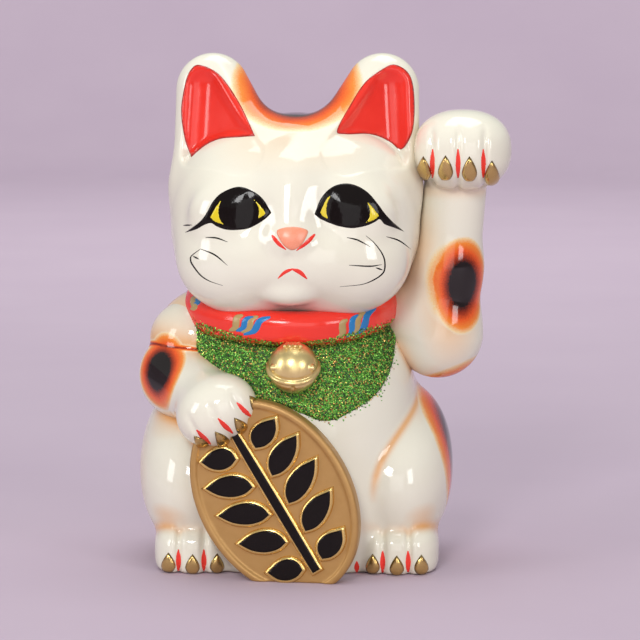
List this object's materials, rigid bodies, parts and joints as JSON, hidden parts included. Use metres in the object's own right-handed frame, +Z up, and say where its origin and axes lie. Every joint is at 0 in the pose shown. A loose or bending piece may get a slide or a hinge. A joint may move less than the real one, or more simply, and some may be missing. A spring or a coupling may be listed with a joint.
{
  "type": "ceramic cat figurine",
  "caption": "Sitting ceramic cat with one forearm raised and an oval coin stood against its belly, for display on a shelf.",
  "frame": {"origin": "middle of the flat resting face, on the figure's left-right middle plane", "axes": "+Z up from the resting face, -Y the way the cat faces, +X towards the raised arm"},
  "size_m": [0.1795, 0.1505, 0.246],
  "materials": {
    "white_glaze": "glossy off-white glaze with airbrushed orange and black",
    "coin_glaze": "glossy old-gold glaze",
    "red_glaze": "glossy red enamel",
    "glitter": "coarse green glitter with gold flecks",
    "bell_glaze": "glossy pale gold glaze"
  },
  "bodies": {
    "root": {"torso_casting": "white_glaze", "head_casting": "white_glaze", "left_ear": "white_glaze", "right_ear": "white_glaze", "raised_arm_casting": "white_glaze", "resting_arm_casting": "white_glaze", "tail": "white_glaze", "coin_plaque": "coin_glaze", "collar_band": "red_glaze", "glitter_bib": "glitter", "bell": "bell_glaze"}
  },
  "joints": []
}
